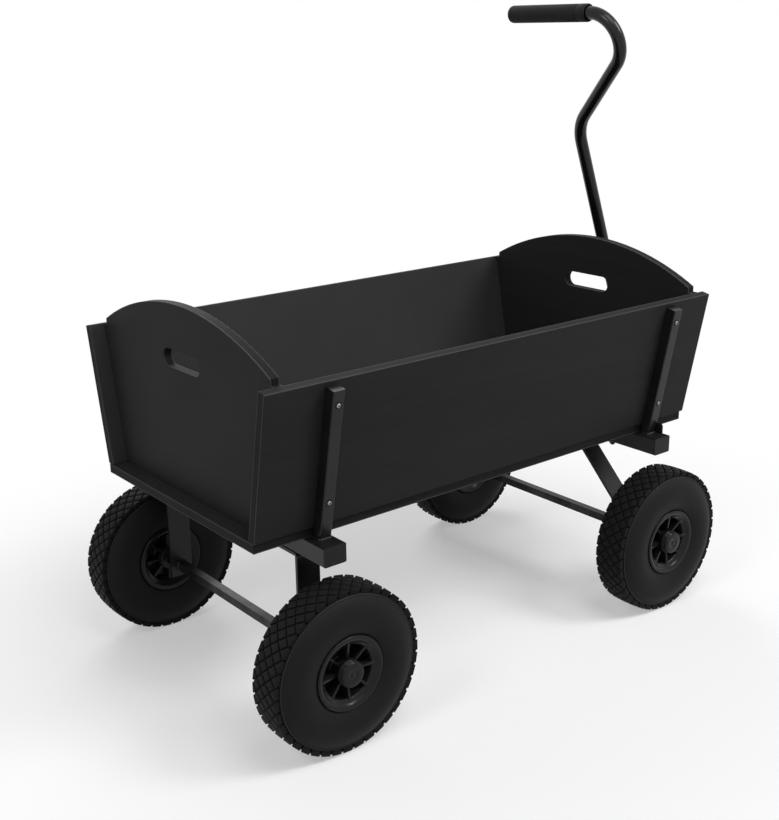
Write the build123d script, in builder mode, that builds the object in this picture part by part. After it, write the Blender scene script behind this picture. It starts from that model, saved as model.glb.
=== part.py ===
from build123d import *
from math import cos, radians, sin, tan
import os

# Beach wagon with plank sides, a pivoting front axle and a gooseneck pull handle.
# Millimetres, +Z up, +X towards the handle, +Y to the wagon's left. The origin is on the
# ground, halfway between the rear tyres' back and the front of the handle hinge.

# Wheels and running gear
wheel_diameter = 260.0
tyre_width = 77.0
wheelbase = 714.0
track = 521.0
tyre_wall = 7.0
tyre_crown_drop = 1.2
tyre_tread_inset = 10.75
tyre_tread_height = 10.0
tyre_tread_undercut = 2.0
tyre_bulge_depth = 38.0
tyre_crown_wall = 16.0
tyre_cavity_share = 0.7
rim_lip_radius = 55.5
rim_lip_width = 61.0
rim_lip_roll = 3.5
rim_wall = 3.0
rim_web = 4.0
rim_pocket_inset = 9.5
rim_rib_count = 8
rim_rib_thickness = 4.0
rim_rib_dish = 4.0
rim_rib_root = 1.0
hub_radius = 19.0
hub_length = 56.0
hub_inner_reach = 32.0
cap_radius = 21.0
cap_height = 16.0
cap_wall = 2.5
cap_steps = ((0.00, 1.00), (0.45, 1.00), (0.50, 0.93), (0.70, 0.90), (0.75, 0.80), (0.92, 0.77), (1.00, 0.70))
spindle_diameter = 12.0
axle_square = 14.0
nut_across_flats = 18.0
nut_height = 7.5

# Steel brackets that carry the axles
bracket_width = 40.0
bracket_thickness = 5.0
rear_leg_spread = 391.0
front_web_spread = 156.0
leg_below_axle = 18.0
leg_bend_radius = 8.0

# Cross beams under the floor
beam_width = 39.0
beam_height = 30.0
beam_past_stake = 25.0
beam_corner = 2.5
beam_wall = 2.5
beam_plug_depth = 14.0
beam_plug_lip = 2.5

# Plank body
board_thickness = 16.0
board_edge_round = 1.5
floor_height = 319.5
box_length = 928.0
base_width = 438.0
side_slope_height = 228.0
side_flare = 10.7
rear_overhang = 105.0
floor_front_set_back = 5.0
rear_board_inset = 25.0
front_board_inset = 14.0
arch_radius = 500.0
arch_shoulder = 8.0
arch_end_step = 9.43
slot_length = 106.0
slot_height = 28.0
slot_below_arch = 85.0

# Stakes that hold the side boards
stake_width = 20.0
stake_depth = 19.0
stake_corner = 2.0
stake_below_edge = 7.0
stake_forward = 4.0

# Turntable and kingpin
turntable_diameter = 110.0
turntable_plate = 5.0
glide_thickness = 3.5
kingpin_diameter = 14.0
kingpin_nut_flats = 24.0
kingpin_nut_height = 9.0

# Drawbar and handle
drawbar_width = 46.0
drawbar_thickness = 6.0
drawbar_reach = 254.0
ear_radius = 16.0
ear_drop = 14.0
hinge_pin_diameter = 10.0
hinge_head_diameter = 17.0
hinge_head_height = 5.0
handle_lean = 20.1
rod_diameter = 22.0
sleeve_diameter = 30.0
first_bend_height = 613.0
first_bend_radius = 75.0
bend_angle = 45.5
top_bend_radius = 52.0
grip_height = 819.0
grip_length = 182.0
grip_bend_gap = 1.5
grip_diameter = 30.0
grip_end_round = 6.0

# Clearances
seat_gap = 0.2
running_gap = 0.05
face_gap = 0.5
side_gap = 0.3
moving_gap = 5.0

# Sizes and places worked out from the ones above
wheel_radius = wheel_diameter / 2
rear_x = (wheel_radius - wheelbase - drawbar_reach - ear_radius) / 2
front_x = rear_x + wheelbase
hinge_x = front_x + drawbar_reach
box_rear = rear_x - rear_overhang
box_front = box_rear + box_length
floor_top = floor_height + board_thickness
flare_tan = tan(radians(side_flare))
flare_cos = cos(radians(side_flare))
flare_sin = sin(radians(side_flare))
side_top = floor_top + side_slope_height * flare_cos
side_top_rise = board_thickness * flare_sin
beam_bottom = floor_height - beam_height
glide_top = beam_bottom - turntable_plate - face_gap
web_top = glide_top - glide_thickness
drawbar_top = web_top - bracket_thickness
hinge_height = drawbar_top - ear_drop


def outer_half_width(height):
    """Half the width over the side boards' outer faces at a height."""
    return base_width / 2 + (height - floor_top) * flare_tan


def inner_half_width(height):
    """Half the width between the side boards' inner faces at a height."""
    return outer_half_width(height) - board_thickness / flare_cos


def stake_foot(height):
    """Half the width over the stakes' outer faces at a height."""
    return outer_half_width(height) + stake_depth / flare_cos


def finish(piece, name):
    """Label a finished piece and write it to its own STEP file."""
    piece.part.label = name
    export_step(piece.part, "parts/" + name + ".step")


os.makedirs("parts", exist_ok=True)

# ---------------------------------------------------------------- plank body

floor_half_width = outer_half_width(floor_height) - side_gap
floor_length = box_length - floor_front_set_back
with BuildPart() as floor_board:
    with BuildSketch(Plane.XY.offset(floor_height)):
        with Locations((box_rear + floor_length / 2, 0)):
            Rectangle(floor_length, 2 * floor_half_width)
    extrude(amount=board_thickness)
    fillet(floor_board.edges().group_by(Axis.Z)[0], board_edge_round)
finish(floor_board, "floor_board")

for side, name in ((1, "side_board_left"), (-1, "side_board_right")):
    with BuildPart() as side_board:
        with BuildSketch(Plane.YZ.offset(box_rear)):
            with BuildLine():
                Polyline(
                    (side * outer_half_width(floor_top), floor_top),
                    (side * outer_half_width(side_top), side_top),
                    (side * (outer_half_width(side_top) - board_thickness * flare_cos), side_top + side_top_rise),
                    (side * inner_half_width(floor_top), floor_top),
                    close=True,
                )
            make_face()
        extrude(amount=box_length)
        fillet(side_board.edges(), board_edge_round)
    finish(side_board, name)

shoulder_height = side_top + side_top_rise
shoulder_half = inner_half_width(shoulder_height) - arch_shoulder
arch_end = shoulder_height + arch_end_step
arch_top = arch_end + arch_radius - (arch_radius**2 - shoulder_half**2) ** 0.5
slot_centre_height = arch_top - slot_below_arch
rear_board_x = box_rear + rear_board_inset
front_board_x = box_front - front_board_inset - board_thickness
for board_x, name in ((rear_board_x, "end_board_rear"), (front_board_x, "end_board_front")):
    with BuildPart() as end_board:
        with BuildSketch(Plane.YZ.offset(board_x)):
            with BuildLine():
                outline = Polyline(
                    (-shoulder_half, arch_end),
                    (-shoulder_half, shoulder_height),
                    (-inner_half_width(shoulder_height), shoulder_height),
                    (-inner_half_width(floor_top), floor_top),
                    (inner_half_width(floor_top), floor_top),
                    (inner_half_width(shoulder_height), shoulder_height),
                    (shoulder_half, shoulder_height),
                    (shoulder_half, arch_end),
                )
                ThreePointArc(outline @ 1, (0, arch_top), outline @ 0)
            make_face()
            with Locations((0, slot_centre_height)):
                SlotOverall(slot_length, slot_height, mode=Mode.SUBTRACT)
        extrude(amount=board_thickness)
        fillet(end_board.faces().sort_by(Axis.X)[0].edges(), board_edge_round)
        fillet(end_board.faces().sort_by(Axis.X)[-1].edges(), board_edge_round)
    finish(end_board, name)

# ------------------------------------------------- cross beams and the stakes

beam_length = 2 * (stake_foot(floor_height) + beam_past_stake)
for beam_x, name in ((rear_x, "rear"), (front_x, "front")):
    with BuildPart() as beam:
        with BuildSketch(Plane.XZ.offset(-beam_length / 2)):
            with Locations((beam_x, floor_height - beam_height / 2)):
                RectangleRounded(beam_width, beam_height, beam_corner)
                Rectangle(beam_width - 2 * beam_wall, beam_height - 2 * beam_wall, mode=Mode.SUBTRACT)
        extrude(amount=beam_length)
        if name == "front":
            with BuildSketch(Plane.XY.offset(beam_bottom)):
                with Locations((beam_x, 0)):
                    Circle(kingpin_diameter / 2 + seat_gap)
            extrude(amount=beam_height, mode=Mode.SUBTRACT)
    finish(beam, "cross_beam_" + name)

    plug_width = beam_width - 2 * beam_wall - 2 * seat_gap
    plug_height = beam_height - 2 * beam_wall - 2 * seat_gap
    with BuildPart() as plugs:
        for side in (1, -1):
            beam_end = Plane(origin=(beam_x, side * beam_length / 2, floor_height - beam_height / 2),
                             x_dir=(side, 0, 0), z_dir=(0, -side, 0))
            with BuildSketch(beam_end):
                Rectangle(plug_width, plug_height)
            extrude(amount=beam_plug_depth)
            with BuildSketch(beam_end):
                RectangleRounded(beam_width, beam_height, beam_corner)
            extrude(amount=-beam_plug_lip)
    finish(plugs, "beam_plugs_" + name)

for stake_x, end in ((rear_x + stake_forward, "rear"), (front_x + stake_forward, "front")):
    for side, hand in ((1, "left"), (-1, "right")):
        stake_top = side_top - stake_below_edge
        with BuildPart() as stake:
            with BuildSketch(Plane.YZ.offset(stake_x - stake_width / 2)):
                with BuildLine():
                    Polyline(
                        (side * outer_half_width(floor_height), floor_height),
                        (side * outer_half_width(stake_top), stake_top),
                        (side * (outer_half_width(stake_top) + stake_depth * flare_cos),
                         stake_top - stake_depth * flare_sin),
                        (side * stake_foot(floor_height), floor_height),
                        close=True,
                    )
                make_face()
            extrude(amount=stake_width)
            long_edges = stake.edges().sort_by(SortBy.LENGTH)[-4:]
            fillet(long_edges, stake_corner)
        finish(stake, "stake_" + end + "_" + hand)

# ------------------------------------------------------------- rear running gear

axle_height = wheel_radius
leg_foot = axle_height - leg_below_axle
rear_half = rear_leg_spread / 2
with BuildPart() as rear_bracket:
    with BuildSketch(Plane.YZ.offset(rear_x - bracket_width / 2)):
        with BuildLine():
            Polyline(
                (-rear_half, leg_foot),
                (-rear_half, beam_bottom),
                (rear_half, beam_bottom),
                (rear_half, leg_foot),
                (rear_half - bracket_thickness, leg_foot),
                (rear_half - bracket_thickness, beam_bottom - bracket_thickness),
                (bracket_thickness - rear_half, beam_bottom - bracket_thickness),
                (bracket_thickness - rear_half, leg_foot),
                close=True,
            )
        make_face()
    extrude(amount=bracket_width)
    outer_corners = rear_bracket.edges().filter_by(Axis.X).group_by(Axis.Z)[-1]
    fillet(outer_corners, leg_bend_radius)
    with BuildSketch(Plane.XZ):
        with Locations((rear_x, axle_height)):
            Rectangle(axle_square + 2 * seat_gap, axle_square + 2 * seat_gap)
    extrude(amount=rear_half, both=True, mode=Mode.SUBTRACT)
finish(rear_bracket, "rear_axle_bracket")


def write_axle(axle_x, name):
    """Square bar through both legs, turned down to a round spindle at each end, and its nuts."""
    bar_half = track / 2 - hub_inner_reach - face_gap
    spindle_half = track / 2 + hub_length - hub_inner_reach + face_gap + nut_height
    with BuildPart() as axle:
        with BuildSketch(Plane.XZ):
            with Locations((axle_x, axle_height)):
                Rectangle(axle_square, axle_square)
        extrude(amount=bar_half, both=True)
        with BuildSketch(Plane.XZ):
            with Locations((axle_x, axle_height)):
                Circle(spindle_diameter / 2)
        extrude(amount=spindle_half, both=True)
    finish(axle, name + "_axle")

    with BuildPart() as nuts:
        for side in (1, -1):
            nut_face = Plane(origin=(axle_x, side * (spindle_half - nut_height), axle_height),
                             x_dir=(1, 0, 0), z_dir=(0, side, 0))
            with BuildSketch(nut_face):
                RegularPolygon(nut_across_flats / 2, 6, major_radius=False)
                Circle(spindle_diameter / 2 + seat_gap / 2, mode=Mode.SUBTRACT)
            extrude(amount=nut_height)
    finish(nuts, name + "_axle_nuts")


write_axle(rear_x, "rear")

# -------------------------------------------------- turntable and front bracket

with BuildPart() as upper_plate:
    with BuildSketch(Plane.XY.offset(beam_bottom - turntable_plate)):
        with Locations((front_x, 0)):
            Circle(turntable_diameter / 2)
            Circle(kingpin_diameter / 2 + seat_gap, mode=Mode.SUBTRACT)
    extrude(amount=turntable_plate)
finish(upper_plate, "turntable_plate")

with BuildPart() as glide_ring:
    with BuildSketch(Plane.XY.offset(web_top)):
        with Locations((front_x, 0)):
            Circle(turntable_diameter / 2 - glide_thickness)
            Circle(kingpin_diameter / 2 + running_gap, mode=Mode.SUBTRACT)
    extrude(amount=glide_thickness)
finish(glide_ring, "glide_ring")

web_half = front_web_spread / 2
knee_height = web_top - (rear_half - web_half)
inner_turn = bracket_thickness * tan(radians(22.5))
with BuildPart() as front_bracket:
    with BuildSketch(Plane.YZ.offset(front_x - bracket_width / 2)):
        with BuildLine():
            Polyline(
                (-rear_half, leg_foot),
                (-rear_half, knee_height),
                (-web_half, web_top),
                (web_half, web_top),
                (rear_half, knee_height),
                (rear_half, leg_foot),
                (rear_half - bracket_thickness, leg_foot),
                (rear_half - bracket_thickness, knee_height - inner_turn),
                (web_half - inner_turn, web_top - bracket_thickness),
                (inner_turn - web_half, web_top - bracket_thickness),
                (bracket_thickness - rear_half, knee_height - inner_turn),
                (bracket_thickness - rear_half, leg_foot),
                close=True,
            )
        make_face()
    extrude(amount=bracket_width)
    with BuildSketch(Plane.XZ):
        with Locations((front_x, axle_height)):
            Rectangle(axle_square + 2 * seat_gap, axle_square + 2 * seat_gap)
    extrude(amount=rear_half, both=True, mode=Mode.SUBTRACT)
    with BuildSketch(Plane.XY.offset(web_top - bracket_thickness)):
        with Locations((front_x, 0)):
            Circle(kingpin_diameter / 2 + running_gap)
    extrude(amount=bracket_thickness, mode=Mode.SUBTRACT)
finish(front_bracket, "front_axle_bracket")

write_axle(front_x, "front")

nut_top = drawbar_top - drawbar_thickness - face_gap
with BuildPart() as kingpin:
    with BuildSketch(Plane.XY.offset(nut_top - kingpin_nut_height)):
        with Locations((front_x, 0)):
            Circle(kingpin_diameter / 2)
    extrude(amount=floor_height - nut_top + kingpin_nut_height)
    with BuildSketch(Plane.XY.offset(nut_top - kingpin_nut_height)):
        with Locations((front_x, 0)):
            RegularPolygon(kingpin_nut_flats / 2, 6, major_radius=False)
    extrude(amount=kingpin_nut_height)
finish(kingpin, "kingpin")

# ---------------------------------------------------------- drawbar and handle

strap_rear = front_x - bracket_width / 2
strap_front = hinge_x - sleeve_diameter / 2 - 2 * moving_gap
ear_inner = drawbar_width / 2 - drawbar_thickness
with BuildPart() as drawbar:
    with BuildSketch(Plane.XY.offset(drawbar_top - drawbar_thickness)):
        with Locations(((strap_rear + strap_front) / 2, 0)):
            Rectangle(strap_front - strap_rear, drawbar_width)
        with Locations((front_x, 0)):
            Circle(kingpin_diameter / 2 + running_gap, mode=Mode.SUBTRACT)
    extrude(amount=drawbar_thickness)
    ear_back = strap_front - 2 * ear_radius
    for side in (1, -1):
        with BuildSketch(Plane.XZ.offset(-side * ear_inner)):
            with BuildLine():
                Polyline(
                    (hinge_x, hinge_height - ear_radius),
                    (hinge_x, hinge_height + ear_radius),
                    (strap_front, drawbar_top),
                    (ear_back, drawbar_top),
                    (ear_back, drawbar_top - drawbar_thickness),
                    close=True,
                )
            make_face()
            with Locations((hinge_x, hinge_height)):
                Circle(ear_radius)
                Circle(hinge_pin_diameter / 2 + seat_gap, mode=Mode.SUBTRACT)
        extrude(amount=-side * drawbar_thickness)
finish(drawbar, "drawbar")

with BuildPart() as hinge_pin:
    with BuildSketch(Plane.XZ.offset(drawbar_width / 2)):
        with Locations((hinge_x, hinge_height)):
            Circle(hinge_pin_diameter / 2)
    extrude(amount=-drawbar_width)
    for side in (1, -1):
        pin_end = Plane(origin=(hinge_x, side * drawbar_width / 2, hinge_height), x_dir=(1, 0, 0),
                        z_dir=(0, side, 0))
        with BuildSketch(pin_end):
            Circle(hinge_head_diameter / 2)
        extrude(amount=hinge_head_height)
finish(hinge_pin, "hinge_pin")

# The rod lies in the plane of the lean and the wagon's width. Its path runs up from the
# hinge, bends out to the right, and turns back over the centre line to carry the grip.
lean = radians(handle_lean)
shaft_direction = (-sin(lean), 0, cos(lean))
handle_plane = Plane(origin=(hinge_x, 0, hinge_height), x_dir=(0, -1, 0), z_dir=(-cos(lean), 0, -sin(lean)))
corner_reach = (grip_height - first_bend_height) * tan(radians(bend_angle))
top_bend_run = top_bend_radius * tan(radians((90 + bend_angle) / 2))
grip_right = corner_reach - top_bend_run - grip_bend_gap
grip_left = grip_right - grip_length
sleeve_length = 2 * ear_inner - 2 * face_gap
with BuildPart() as handle_rod:
    with BuildLine(handle_plane):
        rod_path = FilletPolyline(
            (0, (sleeve_diameter + hinge_pin_diameter) / 4),
            (0, first_bend_height),
            (corner_reach, grip_height),
            (grip_left + grip_end_round, grip_height),
            radius=[first_bend_radius, top_bend_radius],
        )
    with BuildSketch(Plane(origin=rod_path @ 0, z_dir=shaft_direction)):
        Circle(rod_diameter / 2)
    sweep(path=rod_path)
    with BuildSketch(Plane.XZ):
        with Locations((hinge_x, hinge_height)):
            Circle(sleeve_diameter / 2)
    extrude(amount=sleeve_length / 2, both=True)
    with BuildSketch(Plane.XZ):
        with Locations((hinge_x, hinge_height)):
            Circle(hinge_pin_diameter / 2 + running_gap)
    extrude(amount=sleeve_length, both=True, mode=Mode.SUBTRACT)
finish(handle_rod, "handle_rod")

grip_start = handle_plane.from_local_coords((grip_left, grip_height, 0))
grip_plane = Plane(origin=grip_start, x_dir=shaft_direction, z_dir=(0, -1, 0))
with BuildPart() as grip:
    with BuildSketch(grip_plane):
        Circle(grip_diameter / 2)
    extrude(amount=grip_length)
    fillet(grip.edges().sort_by(Axis.Y)[-1], grip_end_round)
    fillet(grip.edges().sort_by(Axis.Y)[0], grip_end_round / 3)
    with BuildSketch(grip_plane.offset(grip_end_round - seat_gap)):
        Circle(rod_diameter / 2 + seat_gap / 2)
    extrude(amount=grip_length, mode=Mode.SUBTRACT)
finish(grip, "grip")

# ------------------------------------------------------------------ the wheels

lip_w = rim_lip_width / 2
lip_outer = rim_lip_radius + rim_lip_roll
seat_radius = rim_lip_radius - rim_lip_roll / 2
bead_half = lip_w - rim_lip_roll - seat_gap
hub_face = hub_length - hub_inner_reach
barrel_half = lip_w - 2 * rim_lip_roll
well_radius = seat_radius - rim_wall
tread_half = tyre_width / 2 - tyre_tread_inset


def radial_plane(centre, side, angle):
    """Plane through the wheel's axis: local X points outboard and local Y along the radius."""
    outboard = Vector(0, side, 0)
    radius = Vector(cos(radians(angle)), 0, sin(radians(angle)))
    return Plane(origin=centre, x_dir=outboard, z_dir=outboard.cross(radius))


def write_wheel(centre, side, name):
    """Tyre, ribbed plastic rim and hub cap of one wheel; side is 1 on the wagon's left."""
    upright = radial_plane(centre, side, 90)
    wheel_axis = Axis(centre, (0, 1, 0))
    tread_edge = wheel_radius - tyre_crown_drop
    shoulder = (tread_half - tyre_tread_undercut, wheel_radius - tyre_tread_height)
    sidewall = (tyre_width / 2, wheel_radius - tyre_bulge_depth)
    foot = (lip_w, lip_outer + seat_gap)
    cavity_top = wheel_radius - tyre_crown_wall
    cavity_half = tread_half * tyre_cavity_share
    cavity_edge = cavity_top - tyre_crown_drop / 2
    with BuildPart() as tyre:
        with BuildSketch(upright):
            with BuildLine():
                for turn in (1, -1):
                    Line((turn * tread_half, tread_edge), (turn * shoulder[0], shoulder[1]))
                    ThreePointArc((turn * shoulder[0], shoulder[1]), (turn * sidewall[0], sidewall[1]),
                                  (turn * foot[0], foot[1]))
                    Polyline(
                        (turn * foot[0], foot[1]),
                        (turn * bead_half, foot[1]),
                        (turn * bead_half, seat_radius + seat_gap),
                        (turn * (bead_half - tyre_wall), seat_radius + seat_gap),
                    )
                    ThreePointArc((turn * (bead_half - tyre_wall), seat_radius + seat_gap),
                                  (turn * (sidewall[0] - tyre_wall), sidewall[1]),
                                  (turn * cavity_half, cavity_edge))
                ThreePointArc((tread_half, tread_edge), (0, wheel_radius), (-tread_half, tread_edge))
                ThreePointArc((cavity_half, cavity_edge), (0, cavity_top), (-cavity_half, cavity_edge))
            make_face()
        revolve(axis=wheel_axis)
    finish(tyre, "tyre_" + name)

    with BuildPart() as rim:
        with BuildSketch(upright):
            with BuildLine():
                Polyline(
                    (-lip_w, seat_radius),
                    (-barrel_half, well_radius - rim_wall),
                    (barrel_half, well_radius - rim_wall),
                    (lip_w, seat_radius - rim_wall / 2),
                    (lip_w, seat_radius),
                    (barrel_half - tyre_wall, seat_radius),
                    (barrel_half - tyre_wall - rim_wall, well_radius),
                    (tyre_wall + rim_wall - barrel_half, well_radius),
                    (tyre_wall - barrel_half, seat_radius),
                    close=True,
                )
            make_face()
            with Locations((lip_w, rim_lip_radius), (-lip_w, rim_lip_radius)):
                Circle(rim_lip_roll)
            with Locations((hub_face - hub_length / 2, (hub_radius + spindle_diameter / 2) / 2)):
                Rectangle(hub_length, hub_radius - spindle_diameter / 2 - 2 * running_gap)
            with BuildLine():
                Polyline(
                    (-barrel_half, well_radius - rim_wall),
                    (-rim_web / 2, well_radius - rim_wall - rim_pocket_inset),
                    (-rim_web / 2, hub_radius),
                    (rim_web / 2, hub_radius),
                    (rim_web / 2, well_radius - rim_wall - rim_pocket_inset),
                    (barrel_half, well_radius - rim_wall),
                    close=True,
                )
            make_face()
        revolve(axis=wheel_axis)
        for step in range(rim_rib_count):
            with BuildSketch(radial_plane(centre, side, step * 360 / rim_rib_count)):
                with BuildLine():
                    Polyline(
                        (-barrel_half, well_radius - rim_wall / 2),
                        (-barrel_half, hub_radius - rim_rib_root),
                        (hub_face - seat_gap, hub_radius - rim_rib_root),
                        (hub_face - seat_gap, cap_radius + side_gap),
                        (hub_face - seat_gap + rim_rib_dish, well_radius - rim_wall / 2),
                        close=True,
                    )
                make_face()
            extrude(amount=rim_rib_thickness / 2, both=True)
    finish(rim, "rim_" + name)

    cap_inner = cap_radius - 2 * cap_wall
    cap_outline = [(hub_face + cap_height * rise, cap_radius * share) for rise, share in cap_steps]
    cap_top, crown_radius = cap_outline[-1]
    with BuildPart() as hub_cap:
        with BuildSketch(upright):
            with BuildLine():
                Polyline(
                    (hub_face, cap_inner),
                    *cap_outline,
                    (cap_top, 0),
                    (cap_top - cap_wall, 0),
                    (cap_top - cap_wall, crown_radius),
                    (cap_outline[2][0], cap_inner),
                    close=True,
                )
            make_face()
        revolve(axis=wheel_axis)
    finish(hub_cap, "hub_cap_" + name)


for wheel_x, end in ((rear_x, "rear"), (front_x, "front")):
    for side, hand in ((1, "left"), (-1, "right")):
        write_wheel((wheel_x, side * track / 2, wheel_radius), side, end + "_" + hand)
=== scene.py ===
import bpy
import numpy as np
from mathutils import Matrix, Vector


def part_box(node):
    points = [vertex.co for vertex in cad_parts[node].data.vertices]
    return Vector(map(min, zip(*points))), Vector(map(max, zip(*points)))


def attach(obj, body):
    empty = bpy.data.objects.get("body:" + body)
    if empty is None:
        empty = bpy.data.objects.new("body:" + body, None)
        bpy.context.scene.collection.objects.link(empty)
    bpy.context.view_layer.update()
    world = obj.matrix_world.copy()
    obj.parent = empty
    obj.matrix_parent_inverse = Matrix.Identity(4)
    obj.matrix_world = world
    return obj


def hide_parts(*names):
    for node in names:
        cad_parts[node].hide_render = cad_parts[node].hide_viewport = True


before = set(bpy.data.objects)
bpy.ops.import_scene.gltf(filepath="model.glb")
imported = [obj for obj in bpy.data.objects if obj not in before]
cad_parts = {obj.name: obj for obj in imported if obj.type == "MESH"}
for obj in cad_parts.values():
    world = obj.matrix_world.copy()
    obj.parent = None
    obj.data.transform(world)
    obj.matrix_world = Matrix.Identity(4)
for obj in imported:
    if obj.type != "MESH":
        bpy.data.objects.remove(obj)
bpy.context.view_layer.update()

# ------------------------------ plank body
# Five boards of 16 mm birch plywood, cut square, edges rounded by hand and sprayed with thin
# black paint. The grain shows faintly through the paint, and the cut edges show the plies.

mm = 0.001
ply_thickness = 16 * mm
side_flare = np.radians(10.7)
# The side boards' inner faces are painted lighter by this share: painted light.
side_inner_light = 0.8
paint_dark, paint_light = (0.0225, 0.0225, 0.0230, 1), (0.0272, 0.0272, 0.0276, 1)
ply_dark, ply_light = (0.006, 0.006, 0.0062, 1), (0.018, 0.0178, 0.0176, 1)
# The first colour is a painted highlight for the cut faces' edges; the second is the painted light for the
# side boards' inner faces.
edge_highlight, paint_inner_lit = (0.068, 0.0675, 0.067, 1), (0.052, 0.052, 0.0525, 1)
fibre_stretch, figure_stretch, ply_stretch = (4, 90, 20), (1.2, 14, 14), (2, 2, 520)
grain_depth = 0.22 * mm
hands = ((1, "left"), (-1, "right"))


class Wire:
    """A socket of a finish that can be used in sums: each operator adds one Math node."""

    def __init__(self, finish, socket):
        self.finish, self.socket = finish, socket

    def math(self, operation, *values):
        return self.finish.node("ShaderNodeMath", {"operation": operation}, *values)

    def __add__(self, other):
        return self.math("ADD", self, other)

    def __sub__(self, other):
        return self.math("SUBTRACT", self, other)

    def __rsub__(self, other):
        return self.math("SUBTRACT", other, self)

    def __mul__(self, other):
        return self.math("MULTIPLY", self, other)

    def __abs__(self):
        return self.math("ABSOLUTE", self)

    __radd__, __rmul__ = __add__, __mul__


class Nodes:
    """A tree of shader nodes."""

    def __init__(self, tree):
        self.tree = tree

    def node(self, kind, settings, *values, output=0, **named):
        """Add a node of that type: first its settings, then the values or links of its sockets."""
        made = self.tree.nodes.new(kind)
        for setting, value in settings.items():
            setattr(made, setting, value)
        sockets = dict(enumerate(values)) | {name.replace("_", " "): value for name, value in named.items()}
        for place, value in sockets.items():
            if isinstance(value, Wire):
                self.tree.links.new(value.socket, made.inputs[place])
            elif value is not None:
                made.inputs[place].default_value = value
        return Wire(self, made.outputs[output])


class Finish(Nodes):
    """One procedural material. Values that are the same all over are set on its shader's own sockets."""

    def __init__(self, name, **constants):
        self.material = bpy.data.materials.new(name)
        self.material.use_nodes = True
        super().__init__(self.material.node_tree)
        self.shader = self.tree.nodes["Principled BSDF"]
        for socket, value in constants.items():
            self.shader.inputs[socket.replace("_", " ")].default_value = value

    def feed(self, **links):
        """Link values that change over the surface to the shader's sockets."""
        for socket, value in links.items():
            self.tree.links.new(value.socket, self.shader.inputs[socket.replace("_", " ")])

    def place(self, turn=(0, 0, 0), shift=(0, 0, 0)):
        """Object coordinates, turned and shifted by a Mapping node."""
        point = self.node("ShaderNodeTexCoord", {}, output="Object")
        return self.node("ShaderNodeMapping", {}, Vector=point, Location=shift, Rotation=turn)

    def stretch(self, point, factors):
        """Coordinates times a factor for each axis: a large factor packs a noise close along that axis."""
        return self.node("ShaderNodeVectorMath", {"operation": "MULTIPLY"}, point, factors)

    def noise(self, point, scale, detail=2.0, roughness=0.5, distortion=0.0):
        """Cloudy noise from 0 to 1 with that many grains to the metre."""
        return self.node("ShaderNodeTexNoise", {}, Vector=point, Scale=scale, Detail=detail,
                         Roughness=roughness, Distortion=distortion)

    def ramp(self, value, low, high):
        """A share that rises smoothly from 0 to 1 as the value goes from low to high."""
        return self.node("ShaderNodeMapRange", {"interpolation_type": "SMOOTHSTEP"}, value, low, high)

    def blend(self, share, colour, other):
        """Mix two colours by a share."""
        return self.node("ShaderNodeMix", {"data_type": "RGBA"}, share, None, None, None, None, None,
                         colour, other, output=2)

    def relief(self, height, depth, strength):
        """A bump of that depth in metres, softened by a strength below 1."""
        return self.node("ShaderNodeBump", {}, Strength=strength, Distance=depth, Height=height)


def dress(node, finish):
    """Give a CAD node that keeps its own shape a finish."""
    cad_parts[node].data.materials.clear()
    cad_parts[node].data.materials.append(finish.material)


def painted_ply(name, grain, inward, outer_point, inner_light=0.0):
    """Painted plywood. Local x runs along the grain and local z is the depth below the outer face. The inner
    face is painted lighter by that share, as painted light."""
    turn = Matrix((grain, Vector(inward).cross(grain), inward))
    shift = -(turn @ Vector(outer_point))
    finish = Finish(name, Specular_IOR_Level=0.07, IOR=1.45)
    point = finish.place(turn=turn.to_euler(), shift=shift)
    depth = finish.node("ShaderNodeSeparateXYZ", {}, point, output=2)
    fibres = finish.noise(finish.stretch(point, fibre_stretch), 1.0, detail=5, roughness=0.6, distortion=0.25)
    figure = finish.noise(finish.stretch(point, figure_stretch), 1.0, detail=3, distortion=0.8)
    mottle = finish.noise(point, 9.0, detail=3)
    plies = finish.noise(finish.stretch(point, ply_stretch), 1.0, detail=1, roughness=0.4)
    inside = depth * (1 / ply_thickness)
    rim = 1 - abs(inside * 2 - 1)
    cut = finish.ramp(rim, 0.05, 0.08)
    # Painted highlight: bands along the edges of the cut faces are painted lighter.
    edge_highlight_share = cut * (1 - finish.ramp(rim + (fibres - 0.5) * 0.1, 0.2, 0.34))
    painted = finish.blend(finish.ramp(fibres * 0.6 + figure * 0.4, 0.32, 0.68), paint_dark, paint_light)
    # Painted light: the inner face is painted lighter, clouded by the mottle.
    inner_lit_share = finish.ramp(inside, 0.9, 0.98) * (mottle * 0.5 + 0.75) * inner_light
    painted = finish.blend(inner_lit_share, painted, paint_inner_lit)
    layered = finish.blend(finish.ramp(plies, 0.35, 0.65), ply_dark, ply_light)
    colour = finish.blend(edge_highlight_share, finish.blend(cut * 0.75, painted, layered), edge_highlight)
    finish.feed(Base_Color=colour, Roughness=0.46 + mottle * 0.14 + fibres * 0.1 + cut * 0.06,
                Normal=finish.relief(fibres * 0.7 + figure * 0.3, grain_depth, 0.35))
    return finish


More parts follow.
